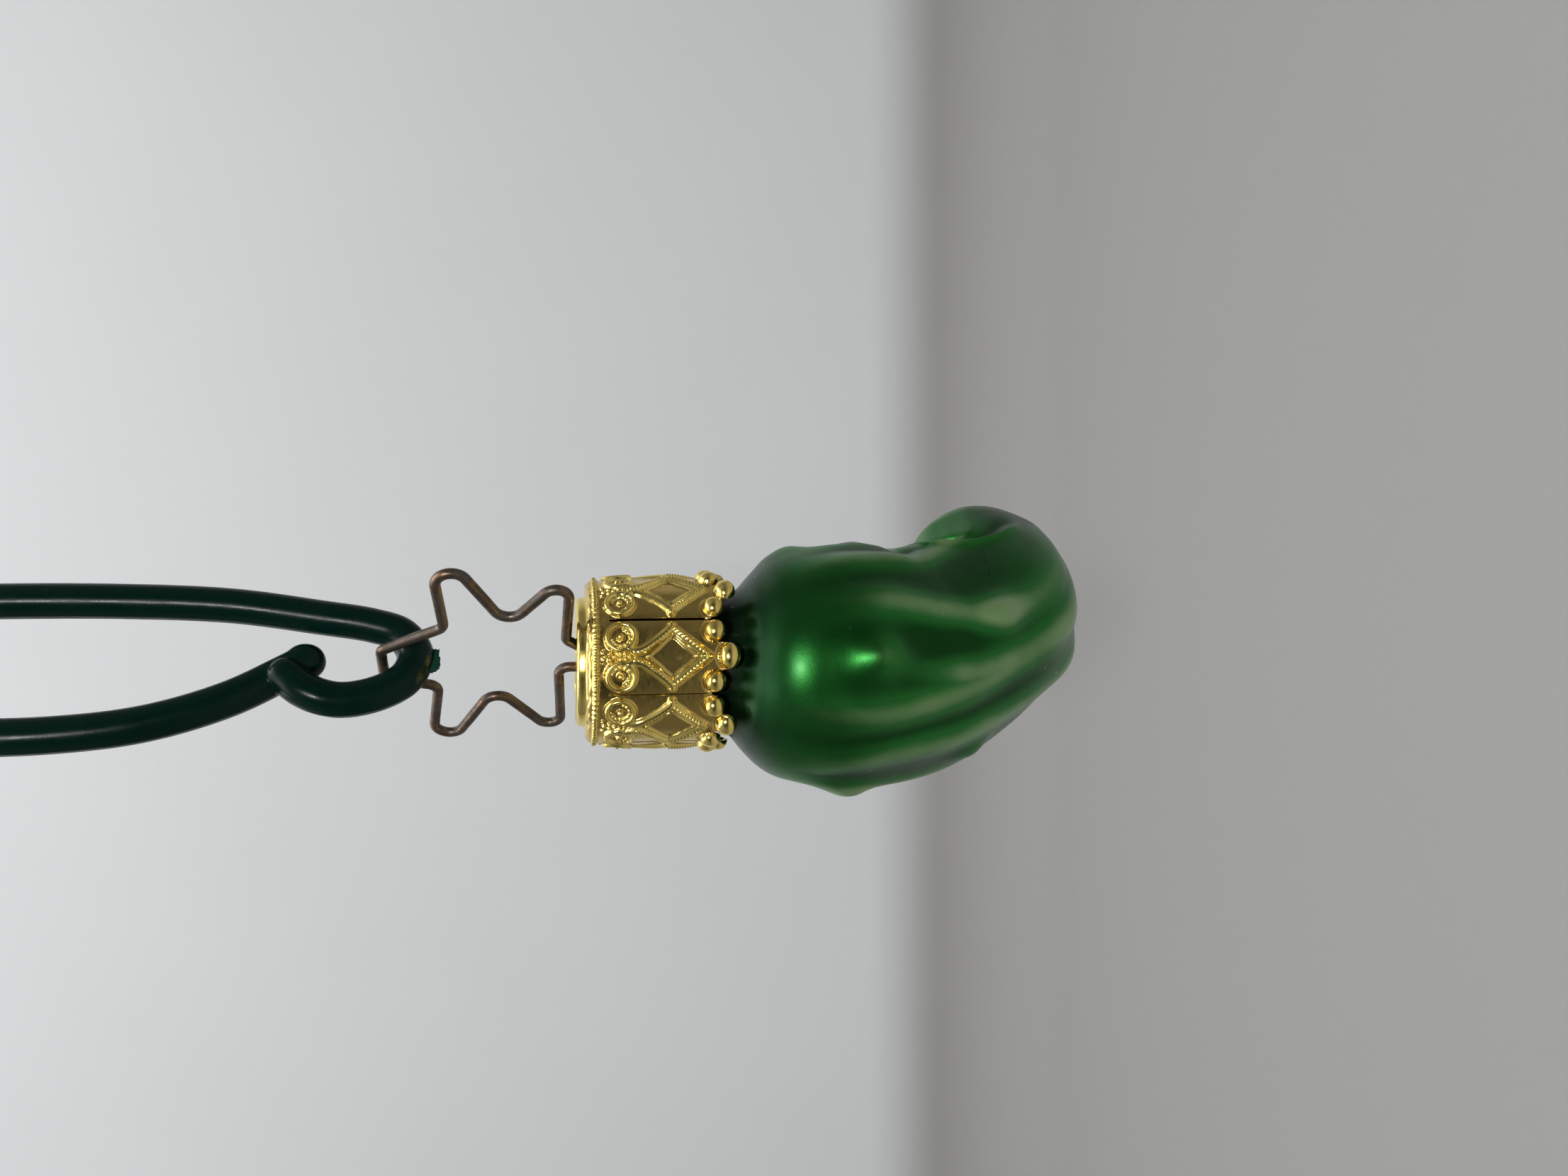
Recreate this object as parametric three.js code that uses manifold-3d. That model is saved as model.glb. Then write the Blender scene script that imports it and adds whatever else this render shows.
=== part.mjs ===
// A blown-glass gherkin for a Christmas tree: a bent, ribbed glass shell, a stamped crown
// cap on its neck, a star-shaped spring-wire hanger and a moulded plastic tree hook.
// Millimetres, +Z up, hanging at rest. The origin is the inside of the hook's top, where
// a branch carries it, and the cap's axis is the Z axis.

import * as THREE from "three";
import { mergeVertices } from "three/addons/utils/BufferGeometryUtils.js";
import Module from "manifold-3d";

const wasm = await Module();
wasm.setup();

// ---- Driving dimensions ----

const DEG = Math.PI / 180;

// Tree hook: one moulded rod, a long loop above and a small eye below, in one upright plane.
const ROD_RADIUS = 1.38;
const HOOK_TURN = 35 * DEG;
const BUD_RADIUS = 1.42;
const GATE_STUB = { width: 2.0, thickness: 0.6, height: 1.0, across: 0.2, z: -53.1 };

// Spring hanger: one wire, bent to a five-pointed star, its two legs sprung apart below.
const WIRE_RADIUS = 0.41;
const HANGER_TURN = -48 * DEG;
const HANGER_OFFSET = 0.5;
const LEG_PITCH = 1.1;
const LEG_SPREAD = 2.5;
const LEG_END_Z = -75.4;

// Crown cap: a stamped cup in seven leaves under a raised top disc.
const CAP_TOP_Z = -63.95;
const CAP_SHOULDER_Z = -64.7;
const CAP_RIM_Z = -75.0;
const CAP_RADIUS = 6.75;
const CAP_WALL = 0.45;
const DISC_RADIUS = 5.1;
const LEAF_COUNT = 7;
const LEAF_PHASE = 6.4 * DEG;
const SLIT = { width: 0.3, top: -66.6 };
const WIRE_SLOT = { inner: 0.45, outer: 4.1, width: 1.35 };
const SIDE_BEAD = { radius: 0.82, z: -74.3, turn: 17 * DEG };
const TIP_BEAD = { radius: 0.88, z: -75.3 };

// Glass: a straight neck and belly, then a bend that carries the blossom end back and up.
const NECK_TOP_Z = -65.2;
const NECK_RADIUS = 4.5;
const GLASS_WALL = 0.75;
const RIB_COUNT = 14;
const RIB_HEIGHT = 0.27;

// ---- Solids ----

/** Keeps only positions, with shared corners merged, ready for a solid. */
function bare(geometry) {
  const plain = geometry.index ? geometry.toNonIndexed() : geometry.clone();
  plain.deleteAttribute("normal");
  plain.deleteAttribute("uv");
  return mergeVertices(plain, 1e-4);
}

/** Six times the signed volume of an indexed geometry. */
function signedVolume(geometry) {
  const corner = [0, 1, 2].map(() => new THREE.Vector3());
  const { index } = geometry;
  const { position } = geometry.attributes;
  let sum = 0;
  for (let i = 0; i < index.count; i += 3) {
    corner.forEach((point, k) => point.fromBufferAttribute(position, index.getX(i + k)));
    sum += corner[0].dot(corner[1].clone().cross(corner[2]));
  }
  return sum;
}

/** A manifold solid from a closed geometry, turned outward where it was made inside out. */
function solid(geometry) {
  const closed = bare(geometry);
  const triVerts = Uint32Array.from(closed.index.array);
  if (signedVolume(closed) < 0) {
    for (let i = 0; i < triVerts.length; i += 3) {
      [triVerts[i], triVerts[i + 1]] = [triVerts[i + 1], triVerts[i]];
    }
  }
  const vertProperties = Float32Array.from(closed.attributes.position.array);
  return new wasm.Manifold(new wasm.Mesh({ numProp: 3, vertProperties, triVerts }));
}

/** A drawable geometry from a manifold solid. */
function geometryOf(body) {
  const { vertProperties, triVerts } = body.getMesh();
  const geometry = new THREE.BufferGeometry();
  geometry.setAttribute("position", new THREE.BufferAttribute(vertProperties, 3));
  geometry.setIndex(new THREE.BufferAttribute(triVerts, 1));
  geometry.computeVertexNormals();
  return geometry;
}

/** A round rod along a curve, with flat ends. */
function rod(curve, radius, sides, steps) {
  const rim = [];
  for (let i = 0; i < sides; i += 1) {
    const turn = (2 * Math.PI * i) / sides;
    rim.push(new THREE.Vector2(radius * Math.cos(turn), radius * Math.sin(turn)));
  }
  return new THREE.ExtrudeGeometry(new THREE.Shape(rim), { steps, extrudePath: curve });
}

/** A profile of (radius, height) points turned round the Z axis. */
function turned(profile, segments) {
  return new THREE.LatheGeometry(profile, segments).rotateX(Math.PI / 2);
}

/** A box whose middle is at a distance from the Z axis, at a turn and a height. */
function boxAt(size, distance, turn, z) {
  return new THREE.BoxGeometry(...size).translate(distance, 0, z).rotateZ(turn);
}

/** A ball whose middle is at a distance from the Z axis, at a turn and a height. */
function ballAt(radius, distance, turn, z) {
  return new THREE.SphereGeometry(radius, 10, 7).translate(distance, 0, z).rotateZ(turn);
}

// ---- Curves ----

/** The stretch of a curve between two shares of its length. */
class Stretch extends THREE.Curve {
  constructor(whole, from, to) {
    super();
    Object.assign(this, { whole, from, to });
  }

  getPoint(t, target = new THREE.Vector3()) {
    return this.whole.getPointAt(this.from + (this.to - this.from) * t, target);
  }
}

/** A round bend between two straight runs of wire. */
class Bend extends THREE.Curve {
  constructor(centre, start, end) {
    super();
    this.centre = centre;
    this.arm = start.clone().sub(centre);
    const lastArm = end.clone().sub(centre);
    this.axis = this.arm.clone().cross(lastArm).normalize();
    this.angle = this.arm.angleTo(lastArm);
  }

  getPoint(t, target = new THREE.Vector3()) {
    return target.copy(this.arm).applyAxisAngle(this.axis, this.angle * t).add(this.centre);
  }
}

/** Straight runs through corners given as [x, z, bend radius], in the XZ plane. */
function bentWire(corners) {
  const path = new THREE.CurvePath();
  const points = corners.map(([x, z]) => new THREE.Vector3(x, 0, z));
  let last = points[0];
  for (let i = 1; i < points.length - 1; i += 1) {
    const before = points[i - 1].clone().sub(points[i]).normalize();
    const after = points[i + 1].clone().sub(points[i]).normalize();
    const half = before.angleTo(after) / 2;
    const radius = corners[i][2];
    const start = points[i].clone().addScaledVector(before, radius / Math.tan(half));
    const end = points[i].clone().addScaledVector(after, radius / Math.tan(half));
    const inward = before.clone().add(after).normalize();
    const centre = points[i].clone().addScaledVector(inward, radius / Math.sin(half));
    path.add(new THREE.LineCurve3(last, start));
    path.add(new Bend(centre, start, end));
    last = end;
  }
  path.add(new THREE.LineCurve3(last, points[points.length - 1]));
  return path;
}

// ---- Tree hook ----

/** The hook's centre line, [across, through, height], from the eye's end round to the bud. */
const HOOK_ROUTE = [
  [-1.15, -0.35, -42.3],
  [-2.24, -0.35, -43.5],
  [-2.98, -0.2, -45.1],
  [-3.12, 0, -46.7],
  [-2.52, 0, -49.2],
  [-1.26, 0, -51.0],
  [0.69, 0, -51.6],
  [2.64, 0, -50.5],
  [3.56, 0, -48.3],
  [4.36, 0, -44.3],
  [5.51, 0, -37.5],
  [5.96, 0, -29.0],
  [5.91, 0, -18.0],
  [5.39, 0, -6.5],
  [3.9, 0, -0.8],
  [0, 0, ROD_RADIUS],
  [-3.9, 0, -0.8],
  [-5.39, 0, -6.5],
  [-5.68, 0, -18.0],
  [-5.62, 0, -27.0],
  [-4.82, 0, -33.0],
  [-2.87, 0.1, -38.3],
  [-0.46, 0.35, -42.0],
  [0.57, 0.5, -43.4],
];
const HOOK_SPLIT = 0.105;
const HOOK_LAP = 0.0005;

function treeHook() {
  const points = HOOK_ROUTE.map((p) => new THREE.Vector3(...p));
  const route = new THREE.CatmullRomCurve3(points, false, "centripetal");
  const loop = new Stretch(route, HOOK_SPLIT - HOOK_LAP, 1);
  const eye = new Stretch(route, 0, HOOK_SPLIT);
  const bud = new THREE.SphereGeometry(BUD_RADIUS, 14, 10);
  bud.translate(...HOOK_ROUTE[HOOK_ROUTE.length - 1]);
  const { width, thickness, height, across, z } = GATE_STUB;
  const stub = new THREE.BoxGeometry(width, thickness, height).translate(across, 0, z);
  return geometryOf(
    solid(rod(loop, ROD_RADIUS, 12, 72))
      .add(solid(rod(eye, ROD_RADIUS, 12, 14)))
      .add(solid(bud))
      .add(solid(stub)),
  );
}

// ---- Spring hanger ----

/** One side of the star, [across, height, bend radius], from its top point down to the leg. */
const STAR_LEFT = [
  [-2.15, -49.2, 0.55],
  [-3.4, -53.2, 1.0],
  [-14.8, -51.75, 1.15],
  [-3.6, -57.55, 1.2],
  [-10.9, -62.9, 1.0],
  [-1.1, -62.6, 0.9],
];
/** The other side, bent by hand and so not quite alike. */
const STAR_RIGHT = [
  [1.15, -49.2, 0.55],
  [4.0, -54.05, 0.8],
  [13.9, -53.3, 1.15],
  [4.0, -58.7, 1.2],
  [10.3, -63.45, 1.0],
  [2.3, -63.15, 0.7],
  [LEG_PITCH, -64.7, 0.4],
];

function springHanger() {
  const leg = (side) => [
    [side * LEG_PITCH, -66.2, 1.5],
    [side * LEG_SPREAD, LEG_END_Z, 0],
  ];
  const corners = [
    ...leg(1).reverse(),
    ...[...STAR_RIGHT].reverse(),
    ...STAR_LEFT,
    ...leg(-1),
  ];
  return rod(bentWire(corners), WIRE_RADIUS, 8, 190);
}

// ---- Crown cap ----

function capShell() {
  const wallIn = CAP_RADIUS - CAP_WALL;
  const profile = [
    [0, CAP_TOP_Z],
    [DISC_RADIUS - 0.2, CAP_TOP_Z],
    [DISC_RADIUS, CAP_TOP_Z - 0.2],
    [DISC_RADIUS, CAP_SHOULDER_Z + 0.05],
    [CAP_RADIUS - 0.35, CAP_SHOULDER_Z],
    [CAP_RADIUS, CAP_SHOULDER_Z - 0.35],
    [CAP_RADIUS, CAP_RIM_Z],
    [wallIn, CAP_RIM_Z],
    [wallIn, CAP_SHOULDER_Z - CAP_WALL - 0.1],
    [DISC_RADIUS - CAP_WALL, CAP_SHOULDER_Z - CAP_WALL],
    [DISC_RADIUS - CAP_WALL, CAP_TOP_Z - CAP_WALL],
    [0, CAP_TOP_Z - CAP_WALL],
  ];
  return turned(profile.map(([r, z]) => new THREE.Vector2(r, z)), 8 * LEAF_COUNT);
}

function crownCap() {
  const leafTurn = (2 * Math.PI) / LEAF_COUNT;
  const front = -Math.PI / 2 + LEAF_PHASE;
  let cap = solid(capShell().rotateZ(front + leafTurn / 2));
  const slitHeight = SLIT.top - CAP_RIM_Z + 2;
  const slitSize = [2.4, SLIT.width, slitHeight];
  for (let i = 0; i < LEAF_COUNT; i += 1) {
    const middle = front + i * leafTurn;
    const slit = boxAt(slitSize, CAP_RADIUS, middle + leafTurn / 2, SLIT.top - slitHeight / 2);
    cap = cap.subtract(solid(slit));
    for (const side of [-1, 1]) {
      const turn = middle + side * SIDE_BEAD.turn;
      cap = cap.add(solid(ballAt(SIDE_BEAD.radius, CAP_RADIUS - 0.2, turn, SIDE_BEAD.z)));
    }
    cap = cap.add(solid(ballAt(TIP_BEAD.radius, CAP_RADIUS + 0.1, middle, TIP_BEAD.z)));
  }
  const reach = WIRE_SLOT.outer - WIRE_SLOT.inner;
  for (const side of [-1, 1]) {
    const middle = HANGER_OFFSET + side * (WIRE_SLOT.inner + reach / 2);
    const slot = boxAt([reach, WIRE_SLOT.width, 2], middle, HANGER_TURN, CAP_TOP_Z);
    cap = cap.subtract(solid(slot));
  }
  return geometryOf(cap);
}

// ---- Glass ----

/** The centre line from the neck's rim to the blossom end. */
const GLASS_LINE = [
  [0, 0, NECK_TOP_Z],
  [0, 0, -72],
  [-0.3, 0, -79],
  [-0.5, 0.8, -85.9],
  [0, 2.2, -92.2],
  [3.4, 5.5, -100.0],
  [7.2, 10.2, -101.7],
  [10.4, 15.4, -101.7],
];

/** Stations along the centre line: [distance from the neck's rim, radius]. */
const GLASS_STATIONS = [
  [0, NECK_RADIUS],
  [7, NECK_RADIUS],
  [9, 4.8],
  [11.3, 5.9],
  [12.5, 7.2],
  [14, 8.6],
  [16, 9.5],
  [20, 10.2],
  [26, 9.8],
  [32, 8.9],
  [39, 7.9],
  [45, 6.8],
];

/**
 * Warts, and at the end a broad hollow and a broad swell of the blossom end:
 * [distance from the neck's rim, turn in degrees, radius, height].
 */
const WARTS = [
  [15.5, -4, 2.2, 0.5],
  [21.8, -1, 1.6, 0.4],
  [15.2, 84, 2.4, 0.25],
  [19.9, 82, 2.1, 0.75],
  [31.7, 70, 2.2, 0.7],
  [35.8, 101, 2.0, 0.55],
  [37.0, 140, 2.0, 0.6],
  [28.0, 146, 1.8, 0.65],
  [20.2, 167, 2.0, 0.7],
  [30.0, 194, 1.9, 0.6],
  [24.0, 221, 2.0, 0.6],
  [17.5, 249, 2.0, 0.6],
  [22.5, 276, 1.9, 0.6],
  [19.0, 304, 2.1, 0.65],
  [26.5, 332, 1.8, 0.6],
  [45.0, 55, 5.0, -0.5],
  [44.5, 350, 4.0, 0.25],
];
const BLOSSOM_LENGTH = 6.0;
const RIB_TURN = 84.4 * DEG;

/** How far the ribs wander sideways: [distance from the neck's rim, degrees]. */
const RIB_DRIFT = [
  [0, 2],
  [16, 0],
  [22, -3.5],
  [28, -8],
  [31, -8],
  [37, 0],
  [49, 4],
];

/** How much of the ribs' height is left: [distance from the neck's rim, share]. */
const RIB_FADE = [
  [0, 0],
  [13, 0],
  [19, 1],
  [22, 1],
  [31, 0.45],
  [42, 0.3],
  [49, 0],
];
const WART_FADE = 9;
const BEND_LIMIT = 0.8;
const LINE_SAMPLES = 400;

/** A smooth curve's value at a distance, through [distance, value] stations. */
function stationValue(stations, distance) {
  const slope = (i, k) => (stations[k][1] - stations[i][1]) / (stations[k][0] - stations[i][0]);
  const last = stations.length - 1;
  const slopeAt = (i) => {
    if (i === 0) return 0;
    return i === last ? slope(last - 1, last) : slope(i - 1, i + 1);
  };
  if (distance > stations[last][0]) {
    return stations[last][1] + slopeAt(last) * (distance - stations[last][0]);
  }
  const i = Math.max(0, stations.findIndex(([s]) => s >= distance) - 1);
  const [s0, r0] = stations[i];
  const [s1, r1] = stations[i + 1];
  const h = s1 - s0;
  const t = (distance - s0) / h;
  return (
    (1 + 2 * t) * (1 - t) ** 2 * r0 +
    t * (1 - t) ** 2 * h * slopeAt(i) +
    t * t * (3 - 2 * t) * r1 +
    t * t * (t - 1) * h * slopeAt(i + 1)
  );
}

/** Places, directions and bends along the glass's centre line, evenly spaced. */
function glassFrames() {
  const points = GLASS_LINE.map((p) => new THREE.Vector3(...p));
  const curve = new THREE.CatmullRomCurve3(points, false, "centripetal");
  const length = curve.getLength();
  const step = length / LINE_SAMPLES;
  const frames = [];
  const side = new THREE.Vector3(1, 0, 0);
  for (let i = 0; i <= LINE_SAMPLES; i += 1) {
    const along = curve.getTangentAt(i / LINE_SAMPLES);
    side.addScaledVector(along, -side.dot(along)).normalize();
    frames.push({
      place: curve.getPointAt(i / LINE_SAMPLES),
      along,
      side: side.clone(),
      front: along.clone().cross(side),
    });
  }
  const reach = 12;
  frames.forEach((frame, i) => {
    const before = frames[Math.max(0, i - reach)].along;
    const after = frames[Math.min(LINE_SAMPLES, i + reach)].along;
    frame.bend = after.clone().sub(before).divideScalar(2 * reach * step);
  });
  const at = (s) => frames[Math.round(THREE.MathUtils.clamp(s / length, 0, 1) * LINE_SAMPLES)];
  return { length, at };
}

/** The outside radius of the bare shell at a distance, rounded off at the blossom end. */
function shellRadius(distance, length) {
  const share = Math.max(0, (distance - (length - BLOSSOM_LENGTH)) / BLOSSOM_LENGTH);
  return stationValue(GLASS_STATIONS, distance) * Math.sqrt(Math.max(0, 1 - share * share));
}

/** The relief of ribs and warts at a distance and a turn. */
function glassRelief(distance, turn, length) {
  const drift = stationValue(RIB_DRIFT, distance) * DEG;
  const fade = Math.max(0, stationValue(RIB_FADE, distance));
  const fadeOut = THREE.MathUtils.smoothstep(length - distance, 0, WART_FADE);
  let relief = RIB_HEIGHT * fade * Math.cos(RIB_COUNT * (turn - RIB_TURN - drift));
  for (const [s, degrees, radius, height] of WARTS) {
    const apart = Math.atan2(Math.sin(turn - degrees * DEG), Math.cos(turn - degrees * DEG));
    const across = apart * stationValue(GLASS_STATIONS, s);
    const away = ((distance - s) ** 2 + across ** 2) / radius ** 2;
    relief += height * Math.exp(-1.6 * away) * Math.min(1, fadeOut * 2);
  }
  return relief;
}

/** The shell as a turned profile, then carried onto the bent centre line. */
function glassBody() {
  const line = glassFrames();
  const { length } = line;
  const outer = [];
  const inner = [];
  const neckSteps = 5;
  const bodySteps = 26;
  const bodyStart = 8;
  const stops = [];
  for (let i = 0; i < neckSteps; i += 1) stops.push((bodyStart * i) / neckSteps);
  for (let i = 0; i <= bodySteps; i += 1) {
    const share = Math.sin((Math.PI / 2) * (i / bodySteps) ** 1.15);
    stops.push(bodyStart + (length - bodyStart) * share);
  }
  const dip = 0.01;
  for (const s of stops) {
    const radius = shellRadius(s, length);
    outer.push(new THREE.Vector2(s === length ? 0 : radius, s));
    const slope = (shellRadius(s + dip, length) - shellRadius(s - dip, length)) / (2 * dip);
    const tilt = Math.hypot(1, slope);
    const innerS = s === length ? s - GLASS_WALL : s + (GLASS_WALL * slope) / tilt;
    inner.push(new THREE.Vector2(Math.max(0, radius - GLASS_WALL / tilt), Math.max(0, innerS)));
  }
  inner[inner.length - 1].x = 0;
  const profile = [...outer.reverse(), ...inner];
  const geometry = new THREE.LatheGeometry(profile, 4 * RIB_COUNT);
  const { position } = geometry.attributes;
  const radial = new THREE.Vector3();
  for (let i = 0; i < position.count; i += 1) {
    const radius = Math.hypot(position.getX(i), position.getZ(i));
    const distance = position.getY(i);
    const turn = Math.atan2(position.getX(i), position.getZ(i));
    const { place, side, front, bend } = line.at(distance);
    radial.copy(side).multiplyScalar(Math.cos(turn)).addScaledVector(front, Math.sin(turn));
    const share = Math.min(1, radius / 2);
    const proud = radius + glassRelief(distance, turn, length) * share;
    const crowd = Math.max(0, (proud * radial.dot(bend)) / BEND_LIMIT);
    const reach = proud / (1 + crowd ** 4) ** 0.25;
    radial.multiplyScalar(reach).add(place);
    position.setXYZ(i, radial.x, radial.y, radial.z);
  }
  return geometryOf(solid(geometry));
}

// ---- Assembly ----

/** A named mesh with its own material. */
function part(name, geometry, color, roughness, metalness) {
  const mesh = new THREE.Mesh(
    geometry,
    new THREE.MeshStandardMaterial({ color, roughness, metalness }),
  );
  mesh.name = name;
  return mesh;
}

const hookPlane = new THREE.Group();
hookPlane.rotation.z = HOOK_TURN;
hookPlane.add(part("tree_hook", treeHook(), 0x0c2f22, 0.4, 0));

const hangerPlane = new THREE.Group();
hangerPlane.rotation.z = HANGER_TURN;
const hanger = part("spring_hanger", springHanger(), 0x6b4a36, 0.35, 0.9);
hanger.position.x = HANGER_OFFSET;
hangerPlane.add(hanger);

const ornament = new THREE.Group();
ornament.add(hookPlane);
ornament.add(hangerPlane);
ornament.add(part("crown_cap", crownCap(), 0xd9b545, 0.22, 1));
ornament.add(part("glass_body", glassBody(), 0x0f6b25, 0.3, 0.8));

export default ornament;
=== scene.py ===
"""Looks for a blown-glass gherkin ornament: plastic hook, star wire, stamped crown cap, glass body.

Shapes are worked out in millimetres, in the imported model's frame (+Z up, hanging at rest,
the cap's axis on Z), and turned into metres when a mesh is made.
"""

import math

import bmesh
import bpy
import numpy as np
from mathutils import Matrix, Vector


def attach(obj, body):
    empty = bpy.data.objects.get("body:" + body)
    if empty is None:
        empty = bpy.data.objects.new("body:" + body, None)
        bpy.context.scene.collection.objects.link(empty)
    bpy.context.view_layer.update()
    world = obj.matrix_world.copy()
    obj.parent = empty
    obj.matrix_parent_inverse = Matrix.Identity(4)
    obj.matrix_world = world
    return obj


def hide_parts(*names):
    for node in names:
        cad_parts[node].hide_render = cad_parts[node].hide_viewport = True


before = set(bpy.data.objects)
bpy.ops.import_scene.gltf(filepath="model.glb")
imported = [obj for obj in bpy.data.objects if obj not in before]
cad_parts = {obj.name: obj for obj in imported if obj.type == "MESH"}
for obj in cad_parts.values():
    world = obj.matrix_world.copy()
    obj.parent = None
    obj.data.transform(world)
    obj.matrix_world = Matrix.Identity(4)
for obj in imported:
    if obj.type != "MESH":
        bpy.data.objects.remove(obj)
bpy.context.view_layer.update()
MM = 0.001

# ---------------------------------------------------------------- meshes


def new_object(name, verts, faces):
    """A mesh object from points in millimetres."""
    mesh = bpy.data.meshes.new(name)
    mesh.from_pydata((np.asarray(verts, float) * MM).tolist(), [], faces)
    mesh.polygons.foreach_set("use_smooth", [True] * len(mesh.polygons))
    mesh.update()
    obj = bpy.data.objects.new(name, mesh)
    bpy.context.scene.collection.objects.link(obj)
    return obj


def grid_faces(rows, cols, start=0, wrap=True, flip=False):
    """Quads of a grid of rows by columns, wrapped round across the columns."""
    faces = []
    for i in range(rows - 1):
        for j in range(cols if wrap else cols - 1):
            k = (j + 1) % cols
            a, b = start + i * cols + j, start + i * cols + k
            c, d = start + (i + 1) * cols + k, start + (i + 1) * cols + j
            faces.append((a, d, c, b) if flip else (a, b, c, d))
    return faces


def set_attribute(obj, name, values):
    """A number for each vertex, which a material can read."""
    layer = obj.data.attributes.new(name, "FLOAT", "POINT")
    layer.data.foreach_set("value", np.asarray(values, float))


def apply_modifiers(obj):
    """Replaces an object's mesh with its modified one."""
    graph = bpy.context.evaluated_depsgraph_get()
    mesh = bpy.data.meshes.new_from_object(obj.evaluated_get(graph))
    old = obj.data
    obj.modifiers.clear()
    obj.data = mesh
    bpy.data.meshes.remove(old)


def catmull(points, count):
    """Points evenly spread along a centripetal Catmull-Rom curve."""
    pts = np.array(points, float)
    last = len(pts) - 1
    dense = []
    for k in range(count * 4 + 1):
        p = last * k / (count * 4)
        i = min(int(p), last - 1)
        w = p - i
        p0 = pts[i - 1] if i > 0 else 2 * pts[0] - pts[1]
        p1, p2 = pts[i], pts[i + 1]
        p3 = pts[i + 2] if i + 2 <= last else 2 * pts[last] - pts[last - 1]
        d0, d1, d2 = (
            max(float(((b - a) ** 2).sum()) ** 0.25, 1e-4)
            for a, b in ((p0, p1), (p1, p2), (p2, p3))
        )
        t1 = ((p1 - p0) / d0 - (p2 - p0) / (d0 + d1) + (p2 - p1) / d1) * d1
        t2 = ((p2 - p1) / d1 - (p3 - p1) / (d1 + d2) + (p3 - p2) / d2) * d1
        a = 2 * p1 - 2 * p2 + t1 + t2
        b = -3 * p1 + 3 * p2 - 2 * t1 - t2
        dense.append(p1 + t1 * w + b * w * w + a * w**3)
    dense = np.array(dense)
    steps = np.linalg.norm(np.diff(dense, axis=0), axis=1)
    along = np.concatenate([[0], np.cumsum(steps)])
    even = np.linspace(0, along[-1], count + 1)
    return np.stack([np.interp(even, along, dense[:, k]) for k in range(3)], 1), even


def frames_along(path, start):
    """Directions along a path, with a side and a front that don't twist."""
    along = np.gradient(path, axis=0)
    along /= np.linalg.norm(along, axis=1)[:, None]
    sides = np.zeros_like(path)
    side = np.array(start, float)
    for i, t in enumerate(along):
        side = side - t * (side @ t)
        side /= np.linalg.norm(side)
        sides[i] = side
    return along, sides, np.cross(along, sides)


def tube(path, radii, sides, start=(0, 1, 0)):
    """Vertices and faces of a closed round tube with domed ends."""
    path = np.asarray(path, float)
    radii = np.broadcast_to(np.asarray(radii, float), (len(path),)).copy()
    along, side, front = frames_along(path, start)
    dome = 5
    rows, scale = [], []
    for k in range(dome, 0, -1):
        share = k / (dome + 0.4)
        rows.append(path[0] - along[0] * radii[0] * share)
        scale.append((0, math.sqrt(1 - share**2)))
    for i in range(len(path)):
        rows.append(path[i])
        scale.append((i, 1))
    end = len(path) - 1
    for k in range(1, dome + 1):
        share = k / (dome + 0.4)
        rows.append(path[end] + along[end] * radii[end] * share)
        scale.append((end, math.sqrt(1 - share**2)))
    turn = np.linspace(0, 2 * math.pi, sides, endpoint=False)
    verts = []
    for centre, (i, k) in zip(rows, scale):
        reach = radii[i] * k
        across = np.outer(np.cos(turn) * reach, side[i])
        verts.extend(centre + across + np.outer(np.sin(turn) * reach, front[i]))
    faces = grid_faces(len(rows), sides)
    first = len(verts)
    verts.append(path[0] - along[0] * radii[0])
    verts.append(path[end] + along[end] * radii[end])
    base = (len(rows) - 1) * sides
    for j in range(sides):
        k = (j + 1) % sides
        faces.append((first, k, j))
        faces.append((first + 1, base + j, base + k))
    return np.array(verts), faces


def turned_about_z(points, degrees):
    """Points turned about the cap's axis."""
    a = math.radians(degrees)
    turn = np.array([[math.cos(a), -math.sin(a), 0], [math.sin(a), math.cos(a), 0], [0, 0, 1]])
    return np.asarray(points) @ turn.T


def smoothstep(x, low, high):
    """0 below low, 1 above high, and a soft step between."""
    t = np.clip((x - low) / (high - low), 0, 1)
    return t * t * (3 - 2 * t)


def lumps(points, size, seed):
    """Smooth noise between about -1 and 1 at points in millimetres."""
    rng = np.random.default_rng(seed)
    total = np.zeros(len(points))
    for _ in range(14):
        direction = rng.normal(size=3)
        direction *= rng.uniform(0.6, 1.5) / np.linalg.norm(direction)
        total += np.sin(2 * math.pi * (points @ direction) / size + rng.uniform(0, 6.3))
    return total / math.sqrt(14) * 0.9


def face_outward(obj):
    """Flips a closed mesh whose faces point in."""
    bm = bmesh.new()
    bm.from_mesh(obj.data)
    if bm.calc_volume(signed=True) < 0:
        bmesh.ops.reverse_faces(bm, faces=bm.faces)
    bm.to_mesh(obj.data)
    bm.free()


def near_path(points, path):
    """How far each point is from a path, and how far along the path the nearest place is."""
    path = np.array(path, float)
    best = np.full(len(points), 1e9)
    where = np.zeros(len(points))
    run = 0.0
    for a, b in zip(path[:-1], path[1:]):
        d = b - a
        size = math.hypot(*d)
        t = np.clip(((points - a) @ d) / size**2, 0, 1)
        away = np.linalg.norm(points - a - t[:, None] * d, axis=1)
        closer = away < best
        best[closer] = away[closer]
        where[closer] = run + t[closer] * size
        run += size
    return best, where


def rounded(points, count=40):
    """A smooth curve in the plane through points."""
    flat = [(x, y, 0) for x, y in points]
    return catmull(flat, count)[0][:, :2]


# ---------------------------------------------------------------- materials


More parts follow.
